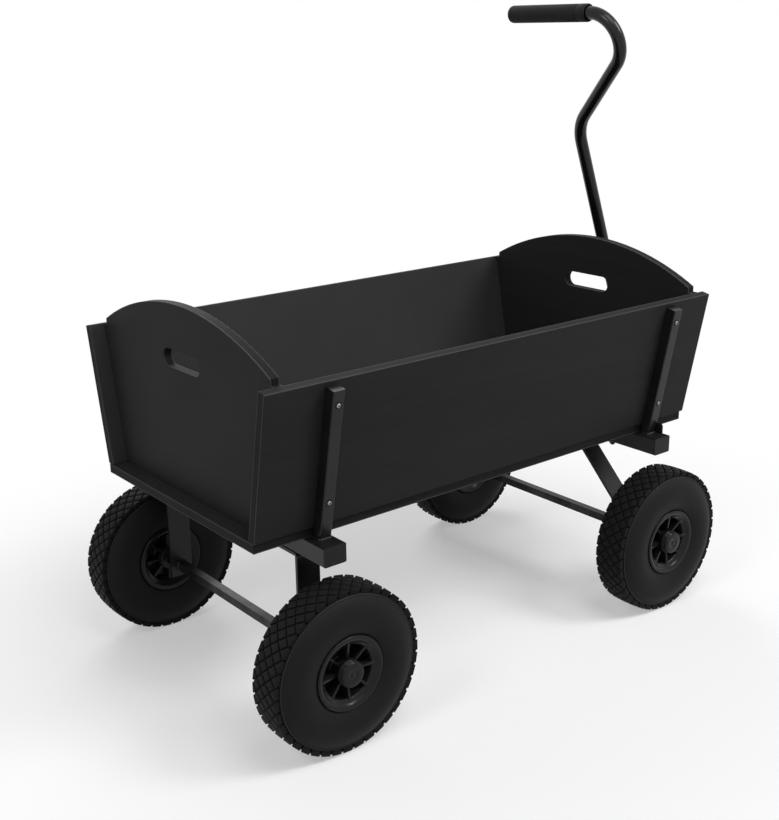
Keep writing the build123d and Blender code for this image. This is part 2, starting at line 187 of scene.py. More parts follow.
along, across, up = Vector((1, 0, 0)), Vector((0, 1, 0)), Vector((0, 0, 1))
dress("floor_board", painted_ply("ply_floor", along, up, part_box("floor_board")[0]))
for side, hand in hands:
    low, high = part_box("side_board_" + hand)
    inner_foot = low.y if side > 0 else high.y
    outer_foot = inner_foot + side * ply_thickness
    inward = Vector((0, -side * np.cos(side_flare), np.sin(side_flare)))
    finish = painted_ply("ply_side_" + hand, along, inward, (0, outer_foot, low.z), side_inner_light)
    dress("side_board_" + hand, finish)
for side, end in ((1, "front"), (-1, "rear")):
    low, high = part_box("end_board_" + end)
    outer_face = high if side > 0 else low
    dress("end_board_" + end, painted_ply("ply_" + end, across, Vector((-side, 0, 0)), outer_face))

# ------------------------------ frame of coated steel
# Square tube stakes, rectangular cross beams, flat-bar axle brackets and drawbar, all mild steel,
# welded and powder coated in one go. The coat is semi-gloss with a fine orange peel.

coat_colour = (0.0098, 0.0098, 0.0101, 1)
coat_dust = (0.0135, 0.0135, 0.0135, 1)


def powder_coat(name, roughness):
    """Black powder coat with a fine orange peel, whose colour and roughness vary slowly over the steel."""
    finish = Finish(name, Specular_IOR_Level=0.24, IOR=1.5)
    point = finish.place()
    cloud = finish.noise(point, 14.0, detail=4)
    peel = finish.noise(point, 900.0, detail=1)
    finish.feed(Base_Color=finish.blend(finish.ramp(cloud, 0.4, 0.75), coat_colour, coat_dust),
                Roughness=roughness + cloud * 0.12, Normal=finish.relief(peel, 0.05 * mm, 0.25))
    return finish


frame_coat = powder_coat("frame_powder_coat", 0.26)
for node in ("cross_beam_rear", "cross_beam_front", "stake_rear_left", "stake_rear_right", "stake_front_left",
             "stake_front_right", "rear_axle_bracket", "front_axle_bracket", "turntable_plate", "drawbar"):
    dress(node, frame_coat)

# ------------------------------ plugs and glide ring
# Ribbed end plugs pressed into the beams, and the glide ring between the turntable plates, both
# moulded in black polyethylene with a slightly waxy skin.

haze = 1.5


def moulded_plastic(name, colour, roughness, grain):
    """Moulded plastic with a fine spark-eroded grain, clouded here and there by a lighter haze."""
    finish = Finish(name, Specular_IOR_Level=0.16, IOR=1.5)
    point = finish.place()
    skin = finish.noise(point, grain, detail=2)
    cloud = finish.noise(point, 22.0, detail=3)
    hazy = tuple(part * haze for part in colour[:3]) + (1,)
    finish.feed(Base_Color=finish.blend(finish.ramp(cloud, 0.35, 0.8), colour, hazy),
                Roughness=roughness + cloud * 0.1 + skin * 0.06, Normal=finish.relief(skin, 0.06 * mm, 0.3))
    return finish


plug_plastic = moulded_plastic("plug_plastic", (0.010, 0.010, 0.0105, 1), 0.36, 1400.0)
for node in ("beam_plugs_rear", "beam_plugs_front", "glide_ring"):
    dress(node, plug_plastic)

# ------------------------------ axles, nuts and kingpin
# Square steel axles turned down at the ends, hexagon nuts and the kingpin, all zinc plated. The plating
# is satin, with drawing lines along the bars.

zinc_dark, zinc_light = (0.020, 0.020, 0.0205, 1), (0.046, 0.046, 0.047, 1)
drawing_lines = (700, 12, 700)


def zinc_plate(name):
    """Satin zinc plating with fine drawing lines along the bar."""
    finish = Finish(name, Metallic=1.0)
    point = finish.place()
    lines = finish.noise(finish.stretch(point, drawing_lines), 1.0, detail=4, roughness=0.6)
    cloud = finish.noise(point, 35.0, detail=3)
    finish.feed(Base_Color=finish.blend(finish.ramp(cloud, 0.3, 0.7), zinc_dark, zinc_light),
                Roughness=0.3 + lines * 0.16 + cloud * 0.08, Normal=finish.relief(lines, 0.05 * mm, 0.3))
    return finish


axle_zinc = zinc_plate("axle_zinc")
for node in ("rear_axle", "front_axle", "rear_axle_nuts", "front_axle_nuts", "kingpin"):
    dress(node, axle_zinc)

# ------------------------------ handle tube
# One steel tube, cold bent twice and welded to its hinge sleeve, under glossy black enamel that
# has flowed smooth.

enamel_dark, enamel_light = (0.006, 0.006, 0.006, 1), (0.011, 0.011, 0.011, 1)
enamel = Finish("handle_enamel", Specular_IOR_Level=0.28, IOR=1.5)
enamel_point = enamel.place()
enamel_cloud = enamel.noise(enamel_point, 11.0, detail=3)
enamel_flow = enamel.noise(enamel_point, 120.0, detail=1)
enamel.feed(Base_Color=enamel.blend(enamel.ramp(enamel_cloud, 0.4, 0.8), enamel_dark, enamel_light),
            Roughness=0.17 + enamel_cloud * 0.12, Normal=enamel.relief(enamel_flow, 0.04 * mm, 0.2))
dress("handle_rod", enamel)

# ------------------------------ rims
# Rims of glass-filled nylon, moulded glossy in two halves and clamped on the tyre's beads. Eight thin
# ribs a side cross deep pockets between the hub and the rolled lip. They turn on the spindles.

wheel_names = [end + "_" + hand for end in ("rear", "front") for hand in ("left", "right")]
rim_plastic = moulded_plastic("rim_plastic", (0.0110, 0.0110, 0.0114, 1), 0.15, 700.0)
rib_count = 8
hub_face, hub_back, hub_radius, bore_radius = 24.0, 32.0, 18.9, 6.6
hub_chamfer, hub_front_dip, hub_back_dip, hub_root = 0.5, 0.2, 0.3, 19.6
rib_foot, rib_dish, rib_back = 24.0, 0.187, 23.5
# Across half a rib: each column's distance from its middle, and how far the rib's top has dropped there.
rib_cut = np.array([0.0, 1.25, 1.75, 2.0, 2.7])
rib_drop = np.array([0.0, 0.0, 0.2, 0.75, np.inf])
pocket_share = np.array([0.4, 1.0])
# The pocket's floor from the hub's wall to the lip: radius, and distance outboard of the wheel's middle.
pocket_radius = np.array([19.15, 19.4, 19.7, 20.2, 21.2, 22.6, 26, 30, 34, 36.4, 37.6, 38.3, 39.2, 40.4, 41.5,
                          42.2, 42.7, 43.6, 46, 48, 49, 49.9, 51.2, 53])
pocket_front = np.array([23.5, 20.0, 14.0, 10.6, 9.3, 9.0, 9.0, 9.0, 9.0, 9.2, 10.0, 11.8, 15.0, 19.4, 23.4,
                         25.4, 26.3, 27.0, 28.6, 29.9, 30.9, 31.9, 32.8, 33.5])
lip_half, lip_radius, lip_roll = 31.0, 56.0, 3.0
seat = np.array([(27.0, 53.75), (16.5, 53.75), (13.5, 50.75)])
weld_step, off_round = 0.002 * mm, 0.317


def grid_faces(rows, columns, wrap_rows=False, wrap_columns=False, start=0):
    """Quads of a grid of points that are numbered row by row from start."""
    row = np.arange(rows if wrap_rows else rows - 1)[:, None]
    column = np.arange(columns if wrap_columns else columns - 1)[None, :]
    next_row, next_column = (row + 1) % rows, (column + 1) % columns
    corners = (row * columns + column, row * columns + next_column,
               next_row * columns + next_column, next_row * columns + column)
    return start + np.stack([np.broadcast_to(c, (row.size, column.size)) for c in corners], -1).reshape(-1, 4)


def weld(points, faces):
    """Merge points that fall in the same cell of a very fine lattice, shifted off round numbers. Returns
    the points left and the faces on them. A quad that lost a corner becomes a triangle."""
    keys = np.floor(points / weld_step + off_round).astype(np.int64)
    _, first, index = np.unique(keys, axis=0, return_index=True, return_inverse=True)
    index = index.ravel()
    kept = []
    for face in faces:
        face = index[face]
        if face.shape[1] == 4:
            same = [face[:, i] == face[:, (i + 1) % 4] for i in range(4)]
            loose = [face[same[i]][:, [(i + 1) % 4, (i + 2) % 4, (i + 3) % 4]] for i in range(4)]
            kept.append(face[~np.any(same, axis=0)])
        else:
            loose = [face]
        kept += [part[(part[:, 0] != part[:, 1]) & (part[:, 1] != part[:, 2]) & (part[:, 2] != part[:, 0])]
                 for part in loose]
    return points[first], kept


def volume(points, faces):
    """Six times the volume inside the faces, from their corners' triple products; below zero if they
    point inwards."""
    return sum(np.einsum("ij,ij->", points[face[:, 0]], np.cross(points[face[:, i]], points[face[:, i + 1]]))
               for face in faces for i in range(1, face.shape[1] - 1))


def make_piece(name, points, faces, finish, body, smooth_below):
    """Weld points and faces into a closed mesh whose edges are smooth below that angle in degrees, and
    give it its finish, body and material slot."""
    points, faces = weld(points, faces)
    if volume(points - points.mean(axis=0), faces) < 0:
        faces = [face[:, ::-1] for face in faces]
    sizes = np.concatenate([np.full(len(face), face.shape[1]) for face in faces])
    loops = np.concatenate([face.ravel() for face in faces])
    mesh = bpy.data.meshes.new(name)
    mesh.vertices.add(len(points))
    mesh.vertices.foreach_set("co", points.ravel())
    mesh.loops.add(len(loops))
    mesh.loops.foreach_set("vertex_index", loops)
    mesh.polygons.add(len(sizes))
    mesh.polygons.foreach_set("loop_start", np.concatenate([[0], np.cumsum(sizes)[:-1]]))
    mesh.update(calc_edges=True)
    mesh.materials.append(finish.material)
    mesh.polygons.foreach_set("use_smooth", np.ones(len(mesh.polygons), bool))
    mesh.set_sharp_from_angle(angle=np.radians(smooth_below))
    piece = bpy.data.objects.new(name, mesh)
    bpy.context.scene.collection.objects.link(piece)
    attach(piece, body)
    return piece


def wheel_place(node):
    """Centre, radius and outboard direction of the wheel that a CAD node belongs to."""
    low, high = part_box(node)
    centre = (low + high) / 2
    return centre, (high.z - low.z) / 2, 1 if centre.y > 0 else -1


def around(angle, width, radius, centre, side):
    """Points at an angle round the wheel's axle, a distance outboard of its middle and a radius."""
    angle, width, radius = np.broadcast_arrays(angle, width, radius)
    return np.stack([centre.x + radius * np.cos(angle), centre.y + side * width,
                     centre.z + radius * np.sin(angle)], -1)


def rim_profile():
    """Rows of (radius, width on the pocket's floor, width on a rib's top, face that it belongs to), once
    round the rim: the bore, the hub's end, the pockets, the lip's roll, the seat, and back the other way."""
    roll = np.radians(np.arange(-10, 180, 25))
    lip = np.stack([lip_radius + lip_roll * np.sin(roll), lip_half + lip_roll * np.cos(roll)])
    rows = [(bore_radius, hub_face, hub_face, 1), (hub_radius - hub_chamfer, hub_face, hub_face, 1),
            (hub_radius, hub_face - hub_front_dip, hub_face, 1)]
    rib_front = np.maximum(pocket_front, rib_foot + rib_dish * (pocket_radius - pocket_radius[0]))
    rows += list(zip(pocket_radius, pocket_front, rib_front, np.ones(len(pocket_radius))))
    rows += [(radius, width, width, 1) for radius, width in lip.T]
    rows += [(radius, width, width, 1) for width, radius in seat]
    rows += [(radius, -width, -width, -1) for width, radius in seat[::-1]]
    rows += [(radius, -width, -width, -1) for radius, width in lip.T[::-1]]
    hub_rise = np.where(pocket_radius < hub_root, hub_back - hub_face, 0)
    pocket_back = -(pocket_front + hub_rise)[::-1]
    rib_behind = np.minimum(pocket_back, -rib_back)
    rows += list(zip(pocket_radius[::-1], pocket_back, rib_behind, -np.ones(len(pocket_back))))
    rows += [(hub_radius, hub_back_dip - hub_back, hub_back_dip - hub_back, -1),
             (hub_radius - hub_chamfer, -hub_back, -hub_back, -1), (bore_radius, -hub_back, -hub_back, -1)]
    return np.array(rows).T


def build_rim(name):
    """The rim's surface on a grid round the wheel and along its profile. In each eighth the columns follow
    a rib's parallel sides, at the arc sine of their offset over the radius, and then share out the pocket."""
    centre, _, side = wheel_place("rim_" + name)
    radius, pocket, top, face = (row[:, None] for row in rim_profile())
    half_sector = np.pi / rib_count
    rib_angle = np.arcsin(np.minimum(rib_cut / radius, 1))
    foot = rib_angle[:, -1:]
    half_angle = np.concatenate([rib_angle, foot + (half_sector - foot) * pocket_share], axis=1)
    half_drop = np.concatenate([rib_drop, np.full(len(pocket_share), np.inf)])[None]
    angle = np.concatenate([-half_angle[:, -2:0:-1], half_angle], axis=1)
    drop = np.concatenate([half_drop[:, -2:0:-1], half_drop], axis=1)
    width = face * np.maximum(face * pocket, face * top - drop)
    turns = np.arange(rib_count)[:, None] * 2 * half_sector + np.pi / 2
    angle = (turns[None] + angle[:, None]).reshape(len(radius), -1)
    width = np.tile(width, (1, rib_count))
    grid = around(angle, width * mm, radius * mm, centre, side)
    piece = make_piece("rim_" + name + "_ribbed", grid.reshape(-1, 3),
                       [grid_faces(*grid.shape[:2], wrap_rows=True, wrap_columns=True)], rim_plastic,
                       "wheel_" + name, smooth_below=44)
    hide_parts("rim_" + name)


for name in wheel_names:
    build_rim(name)

# ------------------------------ hub caps
# Snap-on caps of glossy nylon that hide the axle nuts: three shallow steps, a flat face and the
# moulding gate's small polished dimple in the middle.

cap_plastic = moulded_plastic("cap_plastic", (0.0092, 0.0092, 0.0096, 1), 0.10, 900.0)
cap_columns = 72
cap_profile = np.array([(16.2, 24.2), (20.7, 24.2), (21.0, 24.5), (21.0, 29.6), (20.8, 30.3), (20.3, 30.6),
                        (20.1, 31.0), (20.4, 31.4), (20.5, 32.0), (20.5, 33.0), (20.3, 33.6), (19.8, 33.9),
                        (19.6, 34.3), (19.9, 34.7), (20.0, 35.3), (20.0, 36.2), (19.8, 36.8), (19.2, 37.1),
                        (19.0, 37.4), (19.0, 37.9), (18.6, 38.5), (17.9, 38.8), (12.0, 39.0), (6.4, 39.0),
                        (5.9, 38.8), (5.4, 38.3), (4.9, 38.3), (4.4, 38.8), (3.5, 39.4), (2.3, 39.8),
                        (1.1, 39.97), (0.0, 40.0), (0.0, 37.0), (14.2, 37.0), (16.2, 31.0)])


def lathe(profile, columns, centre, side):
    """A closed profile of (radius, width) in mm turned once round the wheel's axle."""
    angle = np.arange(columns) * 2 * np.pi / columns
    return around(angle[None], profile[:, 1:] * mm, profile[:, :1] * mm, centre, side)


for name in wheel_names:
    cap_centre, _, cap_side = wheel_place("rim_" + name)
    cap_grid = lathe(cap_profile, cap_columns, cap_centre, cap_side)
    cap = make_piece("hub_cap_" + name + "_stepped", cap_grid.reshape(-1, 3),
                     [grid_faces(*cap_grid.shape[:2], wrap_rows=True, wrap_columns=True)], cap_plastic,
                     "wheel_" + name, smooth_below=48)
    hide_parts("hub_cap_" + name)

# ------------------------------ tyres
# Puncture-proof rubber tyres with a diamond tread: two crossing families of grooves cut the crown into
# blocks, and each crossing on the edge runs down the tread's side as a notch. The sidewall is smooth
# but for a few moulded lines.

diamonds_round = 39
half_diamonds_across = 5
tread_half, crown_drop = 27.2 * mm, 1.17 * mm
groove_half, groove_wall, block_round, groove_depth = 1.05 * mm, 0.35 * mm, 0.8 * mm, 3.0 * mm
block_pitch = 15.2 * mm
notch_depth, notch_slope = 2.4 * mm, 7
ridge_depth, ridge_half, ridge_spread = 11.0 * mm, 27.8 * mm, 1.3 * mm
tread_fade = 1 * mm
# Down the side of the tread: share of the way, distance from the wheel's middle, depth below the crown.
wall_share = np.array([0.0, 0.04, 0.09, 0.16, 0.5, 0.93, 1.0])
wall_half = np.array([27.2, 27.52, 27.72, 27.75, 26.95, 25.9, 25.75]) * mm
wall_depth = np.array([1.17, 1.3, 1.55, 2.1, 5.5, 9.4, 10.0]) * mm
bulge_half, bulge_depth = 38.5 * mm, 38.0 * mm
foot_half, foot_radius = 30.5 * mm, 59.25 * mm
toe_half, toe_radius, toe_round = 26.8 * mm, 54.0 * mm, 0.8 * mm
casing, liner_half, liner_depth = 7 * mm, 19.4 * mm, 16.5 * mm
arc_share = np.concatenate([np.arange(1, 12) * 0.008, np.linspace(0.105, 0.97, 23), [0.985, 1.0]])
# Moulded lines on the sidewall: each one's distance from the tread along the arc, height and half width.
tyre_lines = np.array([(0.8, -1.0, 0.5), (2.4, 1.1, 0.9), (4.6, -0.5, 0.9), (60, 0.35, 0.8),
                       (63.5, 0.35, 0.8)]) * mm


def arc_through(start, middle, end, share):
    """Points along the circle through three points, at shares 0 to 1 of the way."""
    (ax, ay), (bx, by), (cx, cy) = start, middle, end
    twice = 2 * (ax * (by - cy) + bx * (cy - ay) + cx * (ay - by))
    square_a, square_b, square_c = ax * ax + ay * ay, bx * bx + by * by, cx * cx + cy * cy
    x = (square_a * (by - cy) + square_b * (cy - ay) + square_c * (ay - by)) / twice
    y = (square_a * (cx - bx) + square_b * (ax - cx) + square_c * (bx - ax)) / twice
    first, last = np.arctan2(ay - y, ax - x), np.arctan2(cy - y, cx - x)
    turn = (last - first + np.pi) % (2 * np.pi) - np.pi
    angle = first + turn * share
    size = np.hypot(ax - x, ay - y)
    return x + size * np.cos(angle), y + size * np.sin(angle)


from_groove = np.cumsum([0, groove_half, groove_wall, block_round]) / block_pitch
cell_line = np.concatenate([from_groove, 1 - from_groove[::-1]])
line_height = np.array([0, 0, 0.84, 1, 1, 0.84, 0, 0])
cell_height = np.minimum.outer(line_height, line_height)
cell_points = len(cell_line)


def tread_cells(centre, radius, side):
    """Diamond blocks on the crown. a and b count the two families of grooves: (a + b) goes round the
    wheel and (a - b) across it, so each cell between two grooves of each family is one block."""
    points, faces, start = [], [], 0
    first = np.arange(diamonds_round)
    one = grid_faces(cell_points, cell_points)
    i, j = one[:, 0] // cell_points, one[:, 0] % cell_points
    for row in range(half_diamonds_across + 1):
        a = first[:, None, None] + cell_line[None, :, None]
        b = first[:, None, None] - row + cell_line[None, None, :]
        share = (a - b) / half_diamonds_across * 2 - 1
        crown = radius - crown_drop * share ** 2
        points.append(around((a + b) * np.pi / diamonds_round, share * tread_half,
                             crown - groove_depth * (1 - cell_height[None]), centre, side).reshape(-1, 3))
        if row == 0:
            parts = [one[i > j], one[i == j][:, [0, 2, 3]]]
        elif row == half_diamonds_across:
            parts = [one[i < j], one[i == j][:, [0, 1, 2]]]
        else:
            parts = [one]
        cells = np.arange(diamonds_round)[:, None, None] * cell_points ** 2
        faces += [start + (cells + part[None]).reshape(-1, part.shape[1]) for part in parts]
        start += len(points[-1])
    return points, faces, start


def tread_side(radius, ring_height):
    """Widths and radii down the notched side of the tread: a point slides from the notch's straight floor
    to the block's side by the block's height there."""
    block_w, block_r = wall_half[:, None], radius - wall_depth[:, None]
    sunk = np.minimum(wall_share * notch_slope, 1)[:, None]
    floor_w = wall_half[0] - notch_depth * sunk + (wall_half[-1] - wall_half[0]) * wall_share[:, None]
    floor_r = block_r[0] - groove_depth + (block_r[-1] - block_r[0] + groove_depth) * wall_share[:, None]
    floor_w[-1], floor_r[-1] = block_w[-1], block_r[-1]
    return floor_w + (block_w - floor_w) * ring_height, floor_r + (block_r - floor_r) * ring_height


def sidewall(radius):
    """Widths and radii down the sidewall's arc, raised along its normal by a bell curve at each moulded
    line, and on round the foot that sits on the rim."""
    top = (wall_half[-1], radius - wall_depth[-1])
    arc_w, arc_r = arc_through(top, (bulge_half, radius - bulge_depth), (foot_half, foot_radius), arc_share)
    along_w, along_r = np.gradient(arc_w), np.gradient(arc_r)
    gone = np.cumsum(np.hypot(np.diff(arc_w, prepend=top[0]), np.diff(arc_r, prepend=top[1])))
    swell = sum(size * np.exp(-((gone - at) / spread) ** 2) for at, size, spread in tyre_lines)
    swell /= np.hypot(along_w, along_r)
    foot = np.array([(toe_half + toe_round, foot_radius), (toe_half, foot_radius - toe_round),
                     (toe_half, toe_radius + toe_round), (toe_half - toe_round, toe_radius)])
    return (np.concatenate([arc_w - along_r * swell, foot[:, 0]])[:, None],
            np.concatenate([arc_r + along_w * swell, foot[:, 1]])[:, None])


def liner(radius):
    """Widths and radii across the inside of the casing: an arc up from one toe, a flat, and an arc down to
    the other toe."""
    toe = (toe_half - toe_round, toe_radius)
    arc_w, arc_r = arc_through(toe, (bulge_half - casing, radius - bulge_depth),
                               (liner_half, radius - liner_depth), np.linspace(0, 1, 12))
    flat = np.linspace(-1, 1, 5)[1:-1] * liner_half
    return (np.concatenate([-arc_w, flat, arc_w[::-1]])[:, None],
            np.concatenate([arc_r, np.full(len(flat), radius - liner_depth), arc_r[::-1]])[:, None])


def mark_wear_and_highlight(mesh, centre, radius):
    """Two attributes for the finish: 1 on the tread, for its wear, and a bell curve round the sidewall's
    upper ridge, for a painted highlight.
    """
    place = np.empty(len(mesh.vertices) * 3)
    mesh.vertices.foreach_get("co", place)
    away = np.hypot(place[0::3] - centre.x, place[2::3] - centre.z)
    above = away - radius + ridge_depth
    from_ridge = np.hypot(above, abs(place[1::3] - centre.y) - ridge_half)
    for layer, values in (("tread", np.clip(above / tread_fade, 0, 1)),
                          ("ridge", np.exp(-(from_ridge / ridge_spread) ** 2))):
        mesh.attributes.new(layer, "FLOAT", "POINT").data.foreach_set("value", values)


def build_tyre(name):
    """One tyre: its tread cells, then rings down the tread's side and the sidewall, half a pattern out of
    step left and right, and a liner that closes the inside and swings from the one phase to the other."""
    centre, radius, side = wheel_place("tyre_" + name)
    points, faces, start = tread_cells(centre, radius, side)
    ring = (np.arange(diamonds_round)[:, None] + cell_line[None, :-1]).ravel()
    ring_height = np.tile(line_height[:-1], diamonds_round)[None]
    tread_w, tread_r = tread_side(radius, ring_height)
    wall_w, wall_r = sidewall(radius)
    rings_w = np.concatenate([tread_w, wall_w + 0 * ring_height])
    rings_r = np.concatenate([tread_r, wall_r + 0 * ring_height])
    angles = []
    for turn, phase in ((-1, 0), (1, half_diamonds_across)):
        angle = (2 * ring + phase) * np.pi / diamonds_round
        grid = around(angle[None], turn * rings_w, rings_r, centre, side)
        quads = grid_faces(*grid.shape[:2], wrap_columns=True, start=start)
        faces.append(quads if turn > 0 else quads[:, ::-1])
        points.append(grid.reshape(-1, 3))
        angles.append(angle)
        start += len(points[-1])
    liner_w, liner_r = liner(radius)
    swing = np.linspace(0, 1, len(liner_w))[:, None]
    angle = angles[0][None] * (1 - swing) + angles[1][None] * swing
    grid = around(angle, liner_w, liner_r, centre, side)
    faces.append(grid_faces(*grid.shape[:2], wrap_columns=True, start=start)[:, ::-1])
    points.append(grid.reshape(-1, 3))
    piece = make_piece("tyre_" + name + "_tread", np.concatenate(points), faces, tyre_rubber,
                       "wheel_" + name, smooth_below=38)
    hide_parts("tyre_" + name)
    mark_wear_and_highlight(piece.data, centre, radius)


rubber_dark, rubber_light = (0.0076, 0.0076, 0.0076, 1), (0.0097, 0.0097, 0.0096, 1)
# The worn colour is the tread's wear; the last colour is a painted highlight along the sidewall's upper
# ridge.
rubber_worn, rubber_ridge_highlight = (0.0072, 0.0072, 0.0072, 1), (0.032, 0.032, 0.032, 1)
tyre_rubber = Finish("tyre_rubber", Specular_IOR_Level=0.14, IOR=1.5)
rubber_point = tyre_rubber.place()
rubber_cloud = tyre_rubber.noise(rubber_point, 18.0, detail=5, roughness=0.6)
rubber_skin = tyre_rubber.noise(rubber_point, 1500.0, detail=2)
rubber_tread = tyre_rubber.node("ShaderNodeAttribute", {"attribute_name": "tread"}, output="Fac")
rubber_ridge = tyre_rubber.node("ShaderNodeAttribute", {"attribute_name": "ridge"}, output="Fac")
rubber_side = tyre_rubber.blend(tyre_rubber.ramp(rubber_cloud, 0.35, 0.75), rubber_dark, rubber_light)
rubber_all = tyre_rubber.blend(rubber_tread, rubber_side, rubber_worn)
# Painted highlight: a lighter, smoother band round the sidewall's upper ridge.
tyre_rubber.feed(Base_Color=tyre_rubber.blend(rubber_ridge, rubber_all, rubber_ridge_highlight),
                 Roughness=0.55 + rubber_cloud * 0.15 + rubber_tread * 0.12 - rubber_ridge * 0.2,
                 Normal=tyre_rubber.relief(rubber_skin, 0.06 * mm, 0.35))
for name in wheel_names:
    build_tyre(name)

# ------------------------------ stake screws
# Two screws hold each stake to its side board: a bright zinc button head with a hexagon socket, seated
# in a black plastic cup washer on the stake's outer face, a dark ring that stands as painted shade for the
# recess round the head.

screw_heights = (377.5 * mm, 527.0 * mm)
stake_top_drop = 3.53 * mm
fastener_columns = 24
screw_profile = np.array([(0, -0.5), (3.6, -0.5), (3.6, 0.5), (3.4, 1.1), (2.8, 1.6), (2.1, 1.9),
                          (1.55, 1.95), (1.5, 1.8), (1.5, 0.4), (0, 0.2)]) * mm
screw_flats = np.repeat((0, 1), (6, 4))
# The dark ring round each head: painted shade for the recess the head sits in.
shade_ring_profile = np.array([(0, -0.5), (5.3, -0.5), (5.3, 0.3), (5.1, 0.8), (4.7, 1.0), (4.2, 0.9), (3.9, 0.5),
                        (3.8, 0.1), (0, 0.05)]) * mm
all_round = np.zeros(1)


def turned(profile, columns, base, axis, flats=all_round):
    """A profile of (radius, height) turned about an axis. Flats says for each point how far it goes from
    round, 0, to a hexagon, 1: there the radius is divided by the cosine of the angle from the nearest
    flat's middle."""
    angle = np.arange(columns) * 2 * np.pi / columns
    from_flat = (angle + np.pi / 6) % (np.pi / 3) - np.pi / 6
    out = Vector(axis).normalized()
    first = out.orthogonal().normalized()
    second = out.cross(first)
    radius = profile[:, :1] * (1 + flats[:, None] * (1 / np.cos(from_flat)[None] - 1))
    return (np.array(base) + profile[:, 1, None, None] * np.array(out)
            + (radius * np.cos(angle))[..., None] * np.array(first)
            + (radius * np.sin(angle))[..., None] * np.array(second))


def make_turned(name, profile, columns, places, finish, body, flats=all_round):
    """One piece of the same turned shape at several places, each a base point and an axis. The profile
    starts and ends on the axis."""
    grids = [turned(profile, columns, base, axis, flats) for base, axis in places]
    faces = [grid_faces(len(profile), columns, wrap_columns=True, start=i * len(profile) * columns)
             for i in range(len(grids))]
    points = np.concatenate([grid.reshape(-1, 3) for grid in grids])
    return make_piece(name, points, faces, finish, body, smooth_below=40)


def stake_foot(name):
    """A stake's box, and how far from the wagon's middle its outer face stands at the foot: its reach at
    the top's edge less the height times the tangent of the flare."""
    low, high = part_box(name)
    return low, high, max(abs(low.y), abs(high.y)) - (high.z - stake_top_drop - low.z) * np.tan(side_flare)


screw_dull, screw_bright = (0.20, 0.20, 0.205, 1), (0.34, 0.34, 0.35, 1)
screw_zinc = Finish("screw_zinc", Metallic=1.0)
screw_cloud = screw_zinc.noise(screw_zinc.place(), 900.0, detail=3)
screw_zinc.feed(Base_Color=screw_zinc.blend(screw_cloud, screw_dull, screw_bright),
                Roughness=0.22 + screw_cloud * 0.14)
for end in ("rear", "front"):
    for side, hand in hands:
        stake = "stake_" + end + "_" + hand
        low, high, reach = stake_foot(stake)
        outward = Vector((0, side * np.cos(side_flare), -np.sin(side_flare)))
        places = [(((low.x + high.x) / 2, side * (reach + (z - low.z) * np.tan(side_flare)), z), outward)
                  for z in screw_heights]
        make_turned(stake + "_screws", screw_profile, fastener_columns, places, screw_zinc, "wagon",
                    screw_flats)
        # Painted shade: a dark plastic ring round each screw head.
        make_turned(stake + "_cups", shade_ring_profile, fastener_columns, places, cap_plastic, "wagon")

# ------------------------------ stake lugs
# A steel lug with rounded top corners stands on the front beam, flat against each stake's foot, and
# braces it. It is welded on and coated with the frame.

lug_gap, lug_thick, lug_wide, lug_tall = 0.1 * mm, 3.0 * mm, 22.0 * mm, 17.5 * mm
lug_round, lug_edge = 4.5 * mm, 0.6 * mm
lug_past_stake = 14 * mm


def build_lug(hand, side):
    """Rings of one outline, level at the foot and with two round corners at the top, carried along x.
    The outer rings are drawn in by the edge's bevel, and the ends close in the outline's middle."""
    low, high, reach = stake_foot("stake_front_" + hand)
    corner = np.radians(np.linspace(0, 90, 7))
    outline_y = np.concatenate([[0, lug_wide], lug_wide - lug_round + lug_round * np.cos(corner),
                                lug_round - lug_round * np.sin(corner)])
    outline_z = np.concatenate([[0, 0], lug_tall - lug_round + lug_round * np.sin(corner),
                                lug_tall - lug_round + lug_round * np.cos(corner)])
    bevelled = 1 - 2 * lug_edge / lug_wide
    spread = np.array([0, bevelled, 1, 1, bevelled, 0])[:, None]
    x = high.x + lug_gap + np.array([0, 0, lug_edge, lug_thick - lug_edge, lug_thick, lug_thick])[:, None]
    y = side * (reach + lug_past_stake - lug_wide / 2 + (outline_y - lug_wide / 2) * spread)
    z = low.z + lug_tall / 2 + (outline_z - lug_tall / 2) * spread
    grid = np.stack([x + 0 * y, y, z], -1)
    make_piece("stake_lug_front_" + hand, grid.reshape(-1, 3),
               [grid_faces(*grid.shape[:2], wrap_columns=True)], frame_coat, "wagon",
               smooth_below=30)


for side, hand in hands:
    build_lug(hand, side)

# ------------------------------ floor bolts
# Carriage bolts pin the floor to each beam. Their low domed heads are black like the frame, and a zinc
# plated washer and lock nut close each one below.

bolt_spread = 150 * mm
bracket_plate = 5 * mm
nut_columns = 36
head_profile = np.array([(0, -0.5), (8.6, -0.5), (8.6, 0.1), (7.8, 1.1), (6.0, 2.0), (3.4, 2.6),
                         (0, 2.8)]) * mm
nut_profile = np.array([(0, -0.5), (10.0, -0.5), (10.2, 0.2), (10.2, 1.3), (9.9, 1.6), (6.4, 1.6), (6.5, 2.0),
                        (6.5, 2.4), (6.5, 6.6), (6.45, 7.1), (6.3, 7.6), (5.2, 9.2), (4.4, 9.4), (4.0, 9.0),
                        (4.0, 11.2), (3.5, 11.8), (0, 11.8)]) * mm
nut_flats = np.array([0, 0, 0, 0, 0, 0, 0.75, 1, 1, 0.75, 0, 0, 0, 0, 0, 0, 0])
floor_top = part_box("floor_board")[1].z
heads, nuts = [], []
for end, plate_below in (("rear", bracket_plate), ("front", 0)):
    low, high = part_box("cross_beam_" + end)
    for side in (1, -1):
        heads.append((((low.x + high.x) / 2, side * bolt_spread, floor_top), (0, 0, 1)))
        nuts.append((((low.x + high.x) / 2, side * bolt_spread, low.z - plate_below), (0, 0, -1)))
make_turned("floor_bolt_heads", head_profile, fastener_columns, heads, frame_coat, "wagon")
